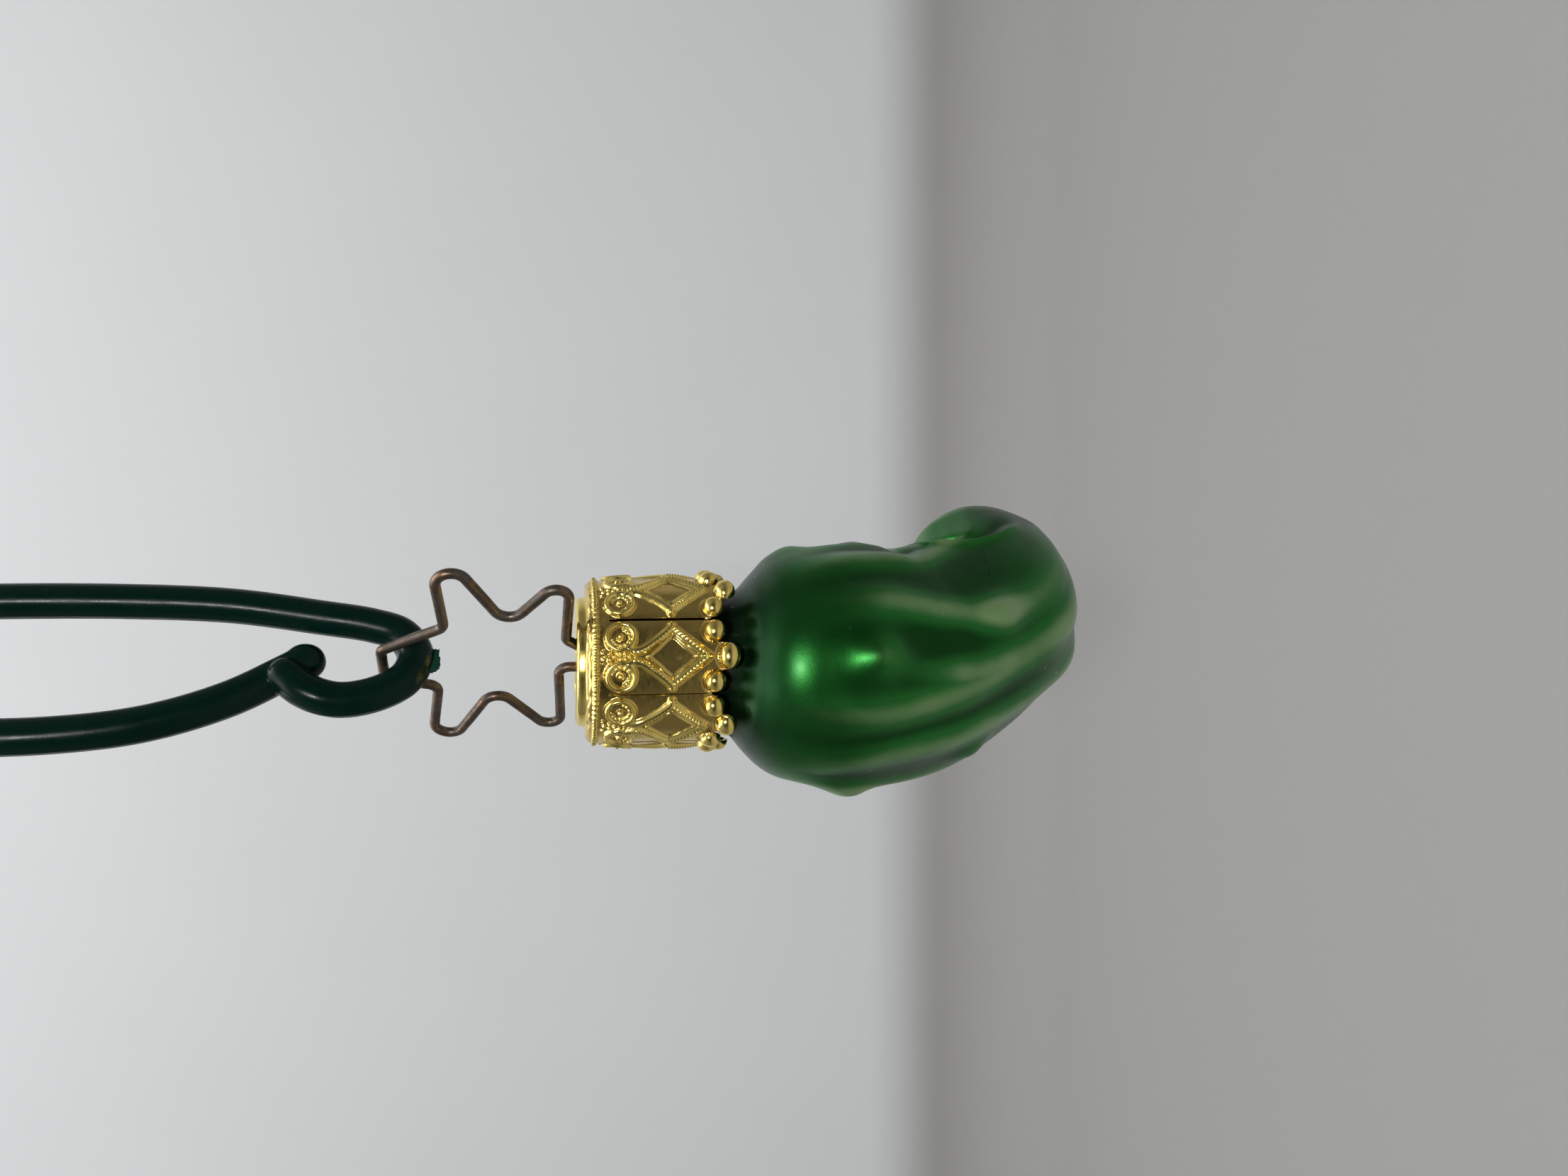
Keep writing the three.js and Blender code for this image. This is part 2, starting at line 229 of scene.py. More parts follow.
class Shader:
    """A material's nodes, made one line each."""

    def __init__(self, name):
        self.material = bpy.data.materials.new(name)
        self.material.use_nodes = True
        self.tree = self.material.node_tree
        self.main = self.tree.nodes["Principled BSDF"]

    def put(self, **values):
        for key, value in values.items():
            socket = self.main.inputs[key.replace("_", " ")]
            if isinstance(value, bpy.types.NodeSocket):
                self.tree.links.new(value, socket)
            else:
                socket.default_value = value

    def node(self, kind, inputs=None, **settings):
        made = self.tree.nodes.new("ShaderNode" + kind)
        for key, value in settings.items():
            setattr(made, key, value)
        for key, value in (inputs or {}).items():
            if isinstance(value, bpy.types.NodeSocket):
                self.tree.links.new(value, made.inputs[key])
            else:
                made.inputs[key].default_value = value
        return made

    def place(self):
        return self.node("TexCoord").outputs["Object"]

    def attribute(self, name):
        return self.node("Attribute", attribute_name=name).outputs["Fac"]

    def noise(self, scale, detail=4, rough=0.55):
        inputs = {"Vector": self.place(), "Scale": scale, "Detail": detail, "Roughness": rough}
        return self.node("TexNoise", inputs).outputs["Fac"]

    def math(self, operation, a, b=0.0, clamp=False):
        return self.node("Math", {0: a, 1: b}, operation=operation, use_clamp=clamp).outputs[0]

    def ramp(self, value, low, high, out_low=0.0, out_high=1.0):
        made = self.node(
            "MapRange",
            {"Value": value, "From Min": low, "From Max": high, "To Min": out_low, "To Max": out_high},
            interpolation_type="SMOOTHSTEP",
        )
        return made.outputs["Result"]

    def blend(self, share, first, second):
        made = self.node("Mix", data_type="RGBA")
        for index, value in ((0, share), (6, first), (7, second)):
            if isinstance(value, bpy.types.NodeSocket):
                self.tree.links.new(value, made.inputs[index])
            elif index == 0:
                made.inputs[index].default_value = value
            else:
                made.inputs[index].default_value = (*value, 1)
        return made.outputs[2]

    def bump(self, height, distance, strength=1.0, normal=None):
        inputs = {"Height": height, "Distance": distance, "Strength": strength}
        if normal is not None:
            inputs["Normal"] = normal
        return self.node("Bump", inputs).outputs["Normal"]


def glass_material():
    s = Shader("silvered_green_glass")
    relief, along = s.attribute("relief"), s.attribute("along")
    cloud = s.noise(240, 5, 0.6)
    patchy = s.math("MULTIPLY", s.math("SUBTRACT", cloud, 0.5), 0.7)
    crest = s.ramp(s.math("ADD", relief, patchy), 0.10, 1.45)
    green = s.blend(s.noise(90, 3), (0.010, 0.122, 0.016), (0.032, 0.235, 0.042))
    # Painted shade: where the relief is low, between the ribs and in the dents, the green is painted much
    # darker.
    green = s.blend(s.ramp(relief, -0.9, 0.2), (0.0016, 0.062, 0.005), green)
    # Painted highlight: the rib crests, the warts and the lip are painted a pale whitish green, partly a
    # frosted finish and partly a painted sheen.
    frosted_with_painted_sheen = s.blend(crest, green, (0.22, 0.38, 0.15))
    # Next to the neck the glass is painted near-black with a speckled edge: painted shade and a painted
    # dark reflection of the cap. The darkest band also loses its metal and coat.
    speckle = s.noise(2600, 2, 0.7)
    edge = s.math("ADD", along, s.math("MULTIPLY", s.math("SUBTRACT", speckle, 0.5), 2.2))
    bare_shaded_neck = s.ramp(edge, 10.2, 12.0, 1.0, 0.0)
    # Painted shade: a wider band below the cap is painted dark green-black as well.
    painted_neck_shade = s.ramp(along, 12.3, 16.3, 0.86, 0.0)
    colour = s.blend(painted_neck_shade, frosted_with_painted_sheen, (0.001, 0.014, 0.004))
    colour = s.blend(bare_shaded_neck, colour, (0.001, 0.005, 0.002))
    dust = s.node("TexVoronoi", {"Vector": s.place(), "Scale": 700.0, "Randomness": 1.0})
    dot = s.ramp(dust.outputs["Distance"], 0.05, 0.11, 1.0, 0.0)
    rare = s.ramp(s.noise(330, 1), 0.58, 0.64)
    colour = s.blend(s.math("MULTIPLY", s.math("MULTIPLY", dot, rare), 0.55), colour, (0.42, 0.5, 0.38))
    scratch = s.math("MULTIPLY", s.attribute("scratch"), s.ramp(s.noise(1500, 3), 0.38, 0.56))
    colour = s.blend(s.math("MULTIPLY", scratch, 0.8), colour, (0.001, 0.02, 0.004))
    rough = s.math("ADD", s.ramp(crest, 0, 1, 0.33, 0.46), s.math("MULTIPLY", s.noise(800, 4), 0.08))
    fine = s.bump(s.noise(5200, 3, 0.6), 0.000012, 0.5)
    soft = s.bump(s.noise(420, 4, 0.55), 0.00009, 0.35, fine)
    s.put(Base_Color=colour, Roughness=rough, Normal=soft)
    metal = s.math("SUBTRACT", s.ramp(crest, 0, 1, 0.96, 0.72), s.math("MULTIPLY", bare_shaded_neck, 0.9), clamp=True)
    s.put(Metallic=metal, Specular_IOR_Level=0.25, Coat_IOR=1.45, Coat_Roughness=0.27)
    s.put(Coat_Weight=s.math("MULTIPLY", s.ramp(bare_shaded_neck, 0, 1, 1.0, 0.0), s.ramp(crest, 0, 1, 0.22, 0.8)))
    return s.material


def silver_material():
    s = Shader("inner_silvering")
    cloud = s.noise(300, 5, 0.6)
    s.put(Base_Color=s.blend(cloud, (0.42, 0.45, 0.42), (0.7, 0.72, 0.69)), Metallic=0.9)
    s.put(Roughness=s.ramp(cloud, 0.3, 0.7, 0.25, 0.5), Normal=s.bump(s.noise(2000, 4), 0.00003, 0.4))
    return s.material


def gold_material():
    s = Shader("stamped_gold")
    pits = s.noise(2400, 6, 0.65)
    tarnish = s.ramp(s.noise(420, 5, 0.6), 0.45, 0.72)
    # Painted reflection: the low flats between the raised relief are painted a darker brown, as if
    # mirroring a dark room.
    low = s.ramp(s.attribute("relief"), -0.02, 0.16, 1.0, 0.0)
    colour = s.blend(s.math("MULTIPLY", low, 0.55), (1.0, 0.77, 0.22), (0.56, 0.35, 0.11))
    colour = s.blend(s.math("MULTIPLY", tarnish, 0.45), colour, (0.47, 0.31, 0.075))
    rough = s.math("ADD", s.ramp(tarnish, 0, 1, 0.16, 0.30), s.math("MULTIPLY", pits, 0.06))
    wavy = s.bump(s.noise(700, 3, 0.5), 0.00005, 0.5)
    s.put(Base_Color=colour, Metallic=1.0, Roughness=rough, Normal=s.bump(pits, 0.00002, 0.55, wavy))
    return s.material


def wire_material():
    s = Shader("oxidised_copper_wire")
    patch = s.noise(650, 6, 0.65)
    streak = s.noise(2600, 4, 0.6)
    worn = s.ramp(s.math("ADD", patch, s.math("MULTIPLY", streak, 0.35)), 0.62, 0.84)
    colour = s.blend(worn, (0.115, 0.092, 0.074), (0.24, 0.145, 0.09))
    colour = s.blend(s.ramp(s.noise(300, 4), 0.45, 0.7), colour, (0.17, 0.145, 0.122))
    rough = s.ramp(patch, 0.3, 0.75, 0.5, 0.3)
    s.put(Base_Color=colour, Metallic=0.92, Roughness=rough)
    s.put(Normal=s.bump(streak, 0.00003, 0.6, s.bump(patch, 0.00004, 0.5)))
    return s.material


def plastic_material():
    s = Shader("dark_green_moulded_plastic")
    drift = s.noise(60, 4, 0.6)
    colour = s.blend(drift, (0.0009, 0.0115, 0.0078), (0.0018, 0.0175, 0.0118))
    torn = s.attribute("torn")
    colour = s.blend(torn, colour, (0.006, 0.055, 0.032))
    scuff = s.ramp(s.noise(1800, 5, 0.7), 0.60, 0.78)
    colour = s.blend(s.math("MULTIPLY", scuff, 0.10), colour, (0.10, 0.15, 0.13))
    rough = s.math("ADD", s.ramp(s.noise(500, 4), 0.3, 0.7, 0.22, 0.30), s.math("MULTIPLY", torn, 0.35))
    grain = s.bump(s.noise(5200, 3, 0.6), 0.00001, 0.5)
    waves = s.bump(s.noise(240, 3, 0.5), 0.00006, 0.35, grain)
    s.put(Base_Color=colour, Roughness=rough, Normal=waves, Specular_IOR_Level=0.13)
    return s.material


def paper_material():
    s = Shader("pale_studio_paper")
    height = s.node("SeparateXYZ", {"Vector": s.place()}).outputs["Z"]
    wall = s.blend(s.noise(14, 4), (0.80, 0.81, 0.815), (0.84, 0.85, 0.855))
    # The floor and the curved corner are painted dark grey: a two-tone backdrop, and painted shade over
    # the corner, which would otherwise catch the light as a bright band.
    colour = s.blend(s.ramp(height, -0.207, -0.178), (0.305, 0.297, 0.288), wall)
    s.put(Base_Color=colour, Roughness=0.75, Normal=s.bump(s.noise(900, 4), 0.0002, 0.15))
    return s.material


# ---------------------------------------------------------------- glass body

GLASS_LINE = [
    (0, 0, -65.2), (0, 0, -72), (-0.3, 0, -79), (-0.5, 0.8, -85.9),
    (0, 2.2, -92.2), (3.4, 5.5, -100.0), (7.2, 10.2, -101.7), (10.4, 15.4, -101.7),
]
GLASS_STATIONS = np.array([
    (0, 4.5), (7, 4.5), (9, 4.8), (11.3, 5.9), (12.5, 7.2), (14, 8.6),
    (16, 9.5), (20, 10.2), (26, 9.8), (32, 8.9), (39, 7.9), (45, 6.8),
])
# Warts: distance from the neck's rim, turn in degrees, radius, height.
WARTS = [
    (15.5, -4, 2.2, 0.5), (21.8, -1, 1.5, 0.3), (20.1, 82.5, 2.35, 0.9), (31.3, 73, 2.4, 0.75),
    (35.8, 101, 2.0, 0.55), (37.0, 140, 2.0, 0.6), (28.0, 146, 1.8, 0.65),
    (20.2, 167, 2.0, 0.7), (30.0, 194, 1.9, 0.6), (24.0, 221, 2.0, 0.6), (17.5, 249, 2.0, 0.6),
    (22.5, 276, 1.9, 0.6), (19.0, 304, 2.1, 0.65), (26.5, 332, 1.8, 0.6), (23.8, 80, 2.3, -0.3),
    (27.0, 76, 2.0, -0.18), (45.0, 55, 5.0, -0.62), (44.5, 350, 4.0, 0.25),
]
# A sharp lip where the blossom end folds under the bend, and a crooked scratch: (distance, turn).
LIP = [
    (28.5, -10), (31.0, 2), (31.7, 14), (34.3, 24), (36.3, 30),
    (38.9, 41), (41.1, 52), (42.6, 60), (44.2, 71),
]
SCRATCH = [(34.8, 34), (33.9, 41), (33.5, 43), (33.1, 49), (32.5, 52), (32.3, 56), (31.5, 64)]
# The radius that the skin is laid flat with to draw them, and the lip's height.
LIP_RADIUS, LIP_HEIGHT = 8.0, 0.50
BLOSSOM_LENGTH, GLASS_WALL = 6.0, 0.7
# Inside the bend the skin goes at most this share of the way from the middle line to the bend's centre.
BEND_LIMIT = 0.8
RIB_COUNT, RIB_HEIGHT, RIB_TURN, RIB_WIDTH = 14, 0.25, 84.4, 1.45
# The ribs that wander: (distance from the rim, turn in degrees) along each, by rib number.
RIB_LINES = {
    0: [(13, 84), (20, 83), (22, 87), (25, 92), (28, 96), (31, 98), (36, 100), (41, 104), (49, 106)],
    1: [(13, 110), (18, 110), (22, 107), (25, 103), (28, 101), (31, 100), (36, 101), (49, 107)],
    2: [(13, 138), (17, 138), (21, 131), (24, 128), (28, 127), (31, 130), (37, 138), (49, 138)],
    12: [(13, 34), (20, 31), (28, 28), (33, 18), (49, 10)],
    13: [(13, 61), (18, 57), (22, 58), (26, 63), (31.7, 73), (36, 77), (49, 80)],
}
# Shares of the height, by distance, on the ribs that are lower than the rest.
RIB_HEIGHTS = {0: [(20.5, 0), (26, 1)], 11: [(0, 0.6)], 13: [(14, 0.4), (21, 1)]}
# How much of their height the ribs keep, and how much frost and painted sheen their crests carry, by
# distance from the rim.
RIB_FADE = [(0, 1), (22, 1), (28, 0.9), (32, 0.6), (36, 0.36), (42, 0.28), (46, 0.1), (49, 0)]
FROST_AND_SHEEN_FADE = [(0, 0), (15, 0.25), (20, 0.85), (31, 1), (36, 0.5), (40, 0.3), (49, 0.2)]
# Steps along the middle line, and how many of them to each side the bend is measured over.
LINE_STEPS, BEND_REACH = 600, 18


def station_radius(s):
    """The plain radius of the glass at distances from the rim, without ribs or warts."""
    x, y = GLASS_STATIONS.T
    slope = np.zeros(len(x))
    slope[1:-1] = (y[2:] - y[:-2]) / (x[2:] - x[:-2])
    slope[-1] = (y[-1] - y[-2]) / (x[-1] - x[-2])
    i = np.clip(np.searchsorted(x, s, side="right") - 1, 0, len(x) - 2)
    h = x[i + 1] - x[i]
    t = (s - x[i]) / h
    inside = (
        (1 + 2 * t) * (1 - t) ** 2 * y[i] + t * (1 - t) ** 2 * h * slope[i]
        + t * t * (3 - 2 * t) * y[i + 1] + t * t * (t - 1) * h * slope[i + 1]
    )
    return np.where(s > x[-1], y[-1] + slope[-1] * (s - x[-1]), inside)


def turned_apart(turns, middle):
    """The angles from a middle to turns, between minus and plus half a turn."""
    return (turns - middle + math.pi) % (2 * math.pi) - math.pi


def make_glass():
    cols = RIB_COUNT * 32
    line, s_line = catmull(GLASS_LINE, LINE_STEPS)
    length = s_line[-1]
    along, side, front = frames_along(line, (1, 0, 0))
    step = np.arange(LINE_STEPS + 1)
    ahead = along[np.minimum(step + BEND_REACH, LINE_STEPS)]
    behind = along[np.maximum(step - BEND_REACH, 0)]
    bend_line = (ahead - behind) / (2 * BEND_REACH * length / LINE_STEPS)

    def surface(stations, turns, inset, ribbed):
        """Points at distances and turns, with the relief of ribs and warts."""
        centre, e1, e2, bend = (
            np.stack([np.interp(stations, s_line, table[:, k]) for k in range(3)], 1)
            for table in (line, side, front, bend_line)
        )
        share = np.clip((stations - (length - BLOSSOM_LENGTH)) / BLOSSOM_LENGTH, 0, 1)
        closing = np.sqrt(np.clip(1 - share**2, 0, 1))[:, None]
        plain = station_radius(stations)[:, None]
        base = plain * closing
        fade_in = smoothstep(stations, 14.5, 20.5)[:, None]
        fade_out = smoothstep(length - stations, 0, 9)[:, None]
        wave = np.zeros((len(stations), len(turns)))
        for rib in range(RIB_COUNT):
            line_turn = RIB_TURN + rib * 360 / RIB_COUNT
            if rib in RIB_LINES:
                line_turn = np.interp(stations, *zip(*RIB_LINES[rib]))[:, None]
            across = turned_apart(turns[None, :], np.radians(line_turn)) * plain / RIB_WIDTH
            height = np.interp(stations, *zip(*RIB_HEIGHTS.get(rib, [(0, 1)])))[:, None]
            wave = np.maximum(wave, height * np.exp(-(across**2)))
        wave = 2 * wave - 1
        rib_fade = fade_in * np.interp(stations, *zip(*RIB_FADE))[:, None]
        rib = RIB_HEIGHT * wave * rib_fade
        warts = np.zeros_like(rib)
        for at, degrees, radius, height in WARTS:
            apart = turned_apart(turns, math.radians(degrees))
            across = apart[None, :] * float(station_radius(np.array([at]))[0])
            away = ((stations[:, None] - at) ** 2 + across**2) / radius**2
            warts += height * np.exp(-1.6 * away) * np.minimum(1, fade_out * 2)
        relief = rib + warts
        out = np.cos(turns)[None, :, None] * e1[:, None, :]
        out = out + np.sin(turns)[None, :, None] * e2[:, None, :]
        proud = base + (relief * np.minimum(1, base / 3) if ribbed else 0) - inset * closing
        inner = np.maximum(0, (out * bend[:, None, :]).sum(-1))
        proud = np.maximum(proud, 0.02)
        proud = proud / (1 + (np.maximum(0, proud * inner) / BEND_LIMIT) ** 4) ** 0.25
        points = centre[:, None, :] + proud[..., None] * out
        # Frost and painted sheen on the rib crests, and painted shade between them.
        frost_and_painted_sheen = np.clip(wave, -1, 1) * np.interp(stations, *zip(*FROST_AND_SHEEN_FADE))[:, None]
        return points, relief, frost_and_painted_sheen, warts, out

    # Outer skin: rows are closer together where the blossom end closes.
    head = np.linspace(0, length - BLOSSOM_LENGTH, 330)
    tail = length - BLOSSOM_LENGTH + BLOSSOM_LENGTH * np.sin(np.linspace(0, math.pi / 2, 70))[1:]
    stations = np.concatenate([head, tail[:-1]])
    turns = np.linspace(0, 2 * math.pi, cols, endpoint=False)
    outer, relief, frost_and_painted_sheen, warts, out = surface(stations, turns, 0.0, True)
    uneven = lumps(outer.reshape(-1, 3), 16, 4).reshape(relief.shape)
    fade = smoothstep(stations, 12, 17)[:, None] * smoothstep(length - stations, 0, 5)[:, None]
    # The skin laid flat, so that the lip and the scratch can be drawn on it.
    sideways = turned_apart(turns, 0)[None, :] * LIP_RADIUS
    flat = np.stack(np.broadcast_arrays(stations[:, None], sideways), -1).reshape(-1, 2)

    def laid_flat(route):
        return [(a, math.radians(b) * LIP_RADIUS) for a, b in route]

    beside, run = near_path(flat, laid_flat(LIP))
    past = near_path(flat, laid_flat([(a + 0.9, b - 7) for a, b in LIP]))[0]
    ends = smoothstep(run, 0.5, 6) * smoothstep(-run, -16.5, -12.5)
    ridge_and_hollow = np.exp(-((beside / 0.42) ** 1.4)) - np.exp(-((past / 0.85) ** 2))
    fold = ends * LIP_HEIGHT * ridge_and_hollow
    outer = outer + out * (0.10 * uneven * fade + fold.reshape(relief.shape))[..., None]
    rows = len(stations)
    verts = list(outer.reshape(-1, 3))
    faces = grid_faces(rows, cols)
    verts.append(line[-1])
    tip = len(verts) - 1
    faces += [(tip, (rows - 1) * cols + (j + 1) % cols, (rows - 1) * cols + j) for j in range(cols)]
    outer_count = len(faces)
    # Inner skin, with the neck's rounded rim between the two.
    inner_rows = np.linspace(0, length - 1.2, 120)
    inner, *_ = surface(inner_rows, turns, GLASS_WALL, False)
    start = len(verts)
    verts.extend((outer[0] + inner[0]) / 2)
    verts.extend(inner.reshape(-1, 3))
    faces += [(j, (j + 1) % cols, start + (j + 1) % cols, start + j)[::-1] for j in range(cols)]
    faces += grid_faces(len(inner_rows) + 1, cols, start, flip=True)
    last = start + len(inner_rows) * cols
    verts.append(inner[-1].mean(axis=0))
    tip_in = len(verts) - 1
    faces += [(tip_in, last + j, last + (j + 1) % cols) for j in range(cols)]
    obj = new_object("gherkin_glass", verts, faces)
    # The value the material reads: high on crests, warts and the lip, where it paints frost and a painted
    # sheen, low in hollows, where it paints shade.
    crest = np.zeros(len(verts))
    crest[: rows * cols] = (frost_and_painted_sheen + 1.4 * warts).ravel() + 1.2 * fold
    set_attribute(obj, "relief", crest)
    distance = np.full(len(verts), 30.0)
    distance[: rows * cols] = np.repeat(stations, cols)
    set_attribute(obj, "along", distance)
    # One fine crooked scratch across the shoulder of the bend.
    away, run = near_path(flat, laid_flat(SCRATCH))
    mark = np.zeros(len(verts))
    mark[: rows * cols] = np.exp(-((away / (0.07 + 0.03 * np.sin(run * 5))) ** 2))
    set_attribute(obj, "scratch", mark)
    obj.data.materials.append(glass_material())
    obj.data.materials.append(silver_material())
    slots = np.zeros(len(faces), int)
    slots[outer_count + cols * 2:] = 1
    obj.data.polygons.foreach_set("material_index", slots)
    face_outward(obj)
    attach(obj, "glass")
    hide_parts("glass_body")
    return obj


# ---------------------------------------------------------------- crown cap

CAP_TOP, CAP_SHOULDER, CAP_RADIUS, SHOULDER_BEND = -63.95, -64.7, 6.72, 0.5
# How much narrower the cup is at its shoulder, and its sheet's thickness.
TAPER, SHEET = 0.26, 0.28
LEAVES, LEAF_PHASE, SLIT_TOP, EVEN_DEPTH = 7, 6.4, 1.9, 8.9
SLIT_WIDTHS = [0.22, 0.30, 0.24, 0.20, 0.26, 0.28, 0.07]
HANGER_TURN, HANGER_OFFSET, WIRE_SLOT = -48, 0.5, (0.45, 4.1, 1.35)
# Round beads on a leaf's edge: (across, down, half width, half height).
SIDE_BEAD, TIP_BEAD = (1.98, 9.92, 0.86, 0.84), (0.0, 11.0, 1.04, 0.86)


def ridge(away, half_width, height):
    return height * np.clip(1 - (away / half_width) ** 2, 0, 1) ** 0.7


def rope(away, where, half_width, height, pitch):
    """A row of round beads on a low ridge."""
    beside = (where % pitch) - pitch / 2
    beads = np.sqrt(np.clip(1 - (away**2 + beside**2) / half_width**2, 0, 1))
    return height * np.maximum(beads, 0.55 * ridge(away, half_width * 0.9, 1.0))


def leaf_relief(u, v):
    """The height of the stamped relief at places on one leaf, in millimetres."""
    p = np.stack([np.abs(u).ravel(), v.ravel()], 1)
    h = np.zeros(len(p))
    raise_to = lambda value: np.maximum(h, value)
    # A beaded row below the shoulder.
    h = raise_to(rope(np.abs(p[:, 1] - 0.90), p[:, 0] + 0.22, 0.25, 0.27, 0.44))
    # The volute: a ring round a dot, with a beaded inner edge.
    ring_u, ring_v = 1.52, 2.75
    away = np.hypot(p[:, 0] - ring_u, p[:, 1] - ring_v)
    angle = np.arctan2(p[:, 1] - ring_v, p[:, 0] - ring_u)
    h = raise_to(ridge(away - 1.03, 0.24, 0.34))
    h = raise_to(rope(np.abs(away - 0.68), angle * 0.68, 0.15, 0.24, 0.33) * (np.cos(angle - 2.4) > -0.55))
    h = raise_to(ridge(away, 0.31, 0.36))
    # The scroll's stem: from the ring, in beside the middle, then out to the lozenge's side corner.
    stem = rounded([(0.62, 3.30), (0.42, 3.80), (0.60, 4.45), (1.02, 5.10), (1.62, 5.90), (2.24, 6.60)])
    away = near_path(p, stem)[0]
    h = raise_to(ridge(away, 0.36, 0.36))
    foot = rounded([(2.24, 6.60), (1.62, 7.34), (0.90, 8.22), (0.0, 9.32)])
    away = near_path(p, foot)[0]
    h = raise_to(ridge(away, 0.38, 0.30))
    # A beaded rope on the crest of each.
    outer = rounded([(0.30, 3.60), (0.30, 4.10), (0.62, 4.78), (1.10, 5.42), (1.72, 6.16), (2.05, 6.52)])
    away, where = near_path(p, outer)
    h = raise_to(rope(away, where, 0.17, 0.40, 0.30))
    crest = rounded([(2.16, 6.74), (1.62, 7.42), (0.90, 8.30), (0.0, 9.40)])
    away, where = near_path(p, crest)
    h = raise_to(rope(away, where, 0.19, 0.47, 0.31))
    # A thin raised edge round the lozenge's flat.
    edge = rounded([(0.0, 4.78), (0.62, 5.52), (1.50, 6.62), (0.78, 7.56), (0.0, 8.52)])
    away = near_path(p, edge)[0]
    h = raise_to(ridge(away, 0.12, 0.20))
    # Beads down the middle, between the two volutes.
    for bead_u, bead_v, radius in (
        (0.0, 1.55, 0.20), (0.24, 1.95, 0.18), (0.0, 2.32, 0.17), (0.20, 2.70, 0.17),
        (0.16, 3.10, 0.18), (0.0, 3.44, 0.15), (0.14, 3.82, 0.15), (0.52, 1.42, 0.17),
    ):
        h = raise_to(ridge(np.hypot(p[:, 0] - bead_u, p[:, 1] - bead_v), radius, 0.28))
    # A low boss at the lozenge's side corner, where two leaves' lines meet.
    h = raise_to(ridge(np.hypot(p[:, 0] - 2.46, p[:, 1] - 6.62), 0.36, 0.38))
    # Round beads on the leaf's edge, each in a fine groove.
    for bead_u, bead_v, wide, high in (SIDE_BEAD, TIP_BEAD):
        away = np.hypot((p[:, 0] - bead_u) / wide, (p[:, 1] - bead_v) / high)
        groove = -0.10 * np.exp(-(((away - 1.08) / 0.10) ** 2))
        dome = 0.78 * np.sqrt(np.clip(1 - (away * 1.02) ** 2, 0, 1))
        h = np.where(away < 0.98, dome, h * smoothstep(away, 0.98, 1.25) + groove)
    return h.reshape(u.shape)


def leaf_edge(u):
    """How far down the sheet reaches at a place across the leaf."""
    reach = np.full(u.shape, 10.15)
    reach = np.where(np.abs(u) > SIDE_BEAD[0], 9.7, reach)
    for bead_u, bead_v, wide, high in (SIDE_BEAD, TIP_BEAD):
        span = np.clip(1 - ((np.abs(u) - bead_u) / wide) ** 2, 0, None)
        reach = np.where(span > 0, np.maximum(reach, bead_v + high * np.sqrt(span)), reach)
    return reach


